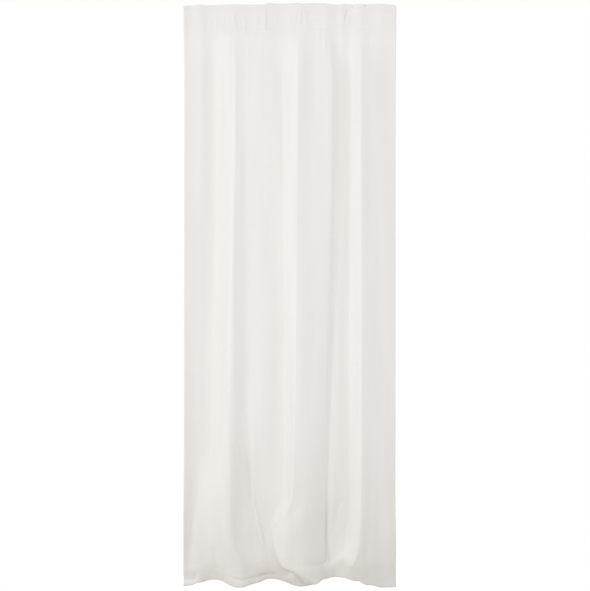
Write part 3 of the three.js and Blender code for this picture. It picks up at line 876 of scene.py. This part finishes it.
def tape_stitches(thread):
    across = stitch_row(TAPE_INSET + TAPE_ROW_END, FLAT_WIDTH - TAPE_INSET - TAPE_ROW_END)
    rows = [(across, seam, lift) for seam in TAPE_SEAMS for lift in (VELVET / 2, TAPE_BACK)]
    down = stitch_row(FRILL + ROW_END, TAPE_END - ROW_END)
    sides = (TAPE_INSET + TAPE_SIDE_SEAM, FLAT_WIDTH - TAPE_INSET - TAPE_SIDE_SEAM)
    rows += [(side, down, TAPE_BACK) for side in sides]
    threads("tape_stitches", *stitched(rows), THREAD, thread, "tape")


def hem_stitches(thread):
    across = stitch_row(ROW_END, FLAT_WIDTH - ROW_END)
    rows = [(across, HEM_SEAM, lift) for lift in (VELVET / 2, None)]
    down = stitch_row(TAPE_END + SIDE_ROW_END, HEM_TOP - ROW_END)
    rows += [(side, down, None) for side in (SIDE_HEM - SEAM_IN, FLAT_WIDTH - SIDE_HEM + SEAM_IN)]
    threads("hem_stitches", *stitched(rows), THREAD, thread, "velvet")


# ---- stage
AMBIENT = 0.82  # the backdrop's light on the curtain, where 1 is the white that the camera sees
FLOOR_WIDTH, FLOOR_DEPTH = 2.2, 1.04
FLOOR_GAP = 0.05  # below the hem
FLOOR_SHADE = (0.52, 0.485, 0.435)  # for the light that it sends back to the curtain
FLOOR_SEEN, FLOOR_GLOW = (0.9, 0.9, 0.9), 0.35  # for the camera, as white as the backdrop
KEY = dict(place=(-16.0, -7.8, -0.8), aim=(0, 0, -1.1), size=(4.8, 7.2), power=480)
FILL = dict(place=(0.2, -5.0, -0.4), aim=(0, 0, -1.2), size=(2.4, 2.4), power=30)
VIEW_DISTANCE = 3.0  # from the hanging plane
VIEW_SIDE, VIEW_HEIGHT = 0.0216, -1.2586
FRAME_HEIGHT = 2.55623  # what the picture spans at the hanging plane
SENSOR = 36  # millimetres


def seen_directly(nodes, links):
    """1 for what the camera sees, directly or in a gloss, and 0 for light on the curtain."""
    path = nodes.new("ShaderNodeLightPath")
    seen = path.outputs["Is Camera Ray"]
    for ray in ("Is Glossy Ray", "Is Transmission Ray"):
        either = nodes.new("ShaderNodeMath")
        either.operation = "MAXIMUM"
        links.new(seen, either.inputs[0])
        links.new(path.outputs[ray], either.inputs[1])
        seen = either.outputs[0]
    return seen


def studio():
    """A white backdrop that lights the curtain a little less than it shows."""
    world = bpy.data.worlds.new("studio")
    bpy.context.scene.world = world
    world.use_nodes = True
    nodes, links = world.node_tree.nodes, world.node_tree.links
    background = nodes["Background"]
    background.inputs["Color"].default_value = (1, 1, 1, 1)
    strength = nodes.new("ShaderNodeMapRange")
    links.new(seen_directly(nodes, links), strength.inputs["Value"])
    strength.inputs["To Min"].default_value = AMBIENT
    strength.inputs["To Max"].default_value = 1.0
    links.new(strength.outputs["Result"], background.inputs["Strength"])


def diffuse(nodes, colour):
    shader = nodes.new("ShaderNodeBsdfDiffuse")
    shader.inputs["Color"].default_value = (*colour, 1)
    return shader.outputs[0]


def floor():
    """A floor that looks white and sends only a dim warm light back to the curtain."""
    across, deep = FLOOR_WIDTH / 2, FLOOR_DEPTH / 2
    mesh = bpy.data.meshes.new("floor")
    corners = [(-across, -deep), (across, -deep), (across, deep), (-across, deep)]
    mesh.from_pydata([(x, y, cloth_low[2] - FLOOR_GAP) for x, y in corners], [], [(0, 1, 2, 3)])
    material = bpy.data.materials.new("floor")
    material.use_nodes = True
    nodes, links = material.node_tree.nodes, material.node_tree.links
    nodes.remove(nodes["Principled BSDF"])
    glow = nodes.new("ShaderNodeEmission")
    glow.inputs["Strength"].default_value = FLOOR_GLOW
    lit = nodes.new("ShaderNodeAddShader")
    links.new(diffuse(nodes, FLOOR_SEEN), lit.inputs[0])
    links.new(glow.outputs[0], lit.inputs[1])
    mix = nodes.new("ShaderNodeMixShader")
    links.new(seen_directly(nodes, links), mix.inputs["Fac"])
    links.new(diffuse(nodes, FLOOR_SHADE), mix.inputs[1])
    links.new(lit.outputs[0], mix.inputs[2])
    links.new(mix.outputs[0], nodes["Material Output"].inputs["Surface"])
    mesh.materials.append(material)
    piece = placed("floor", mesh)


def soft_lamp(name, place, aim, size, power):
    data = bpy.data.lights.new(name, "AREA")
    data.shape = "RECTANGLE"
    data.size, data.size_y = size
    data.energy = power
    lamp = placed(name, data)
    lamp.location = place
    lamp.rotation_euler = (Vector(aim) - Vector(place)).to_track_quat("-Z", "Y").to_euler()


def camera():
    data = bpy.data.cameras.new("camera")
    data.sensor_fit = "AUTO"
    data.sensor_width = SENSOR
    data.lens = data.sensor_width * VIEW_DISTANCE / FRAME_HEIGHT
    view = placed("camera", data)
    view.location = (VIEW_SIDE, -VIEW_DISTANCE, VIEW_HEIGHT)
    view.rotation_euler = (math.pi / 2, 0, 0)
    bpy.context.scene.camera = view


velvet_cloth()
tape_cloth = tape_weave()
gathering_tape(tape_cloth)
tape_pockets(tape_cloth)
draw_cords()
sewing_thread = twisted("sewing_thread", THREAD_DARK, THREAD_LIGHT, THREAD_LAY)
tape_stitches(sewing_thread)
hem_stitches(sewing_thread)
studio()
soft_lamp("key", **KEY)
soft_lamp("fill", **FILL)
floor()
camera()
bpy.context.scene.view_settings.view_transform = "Standard"
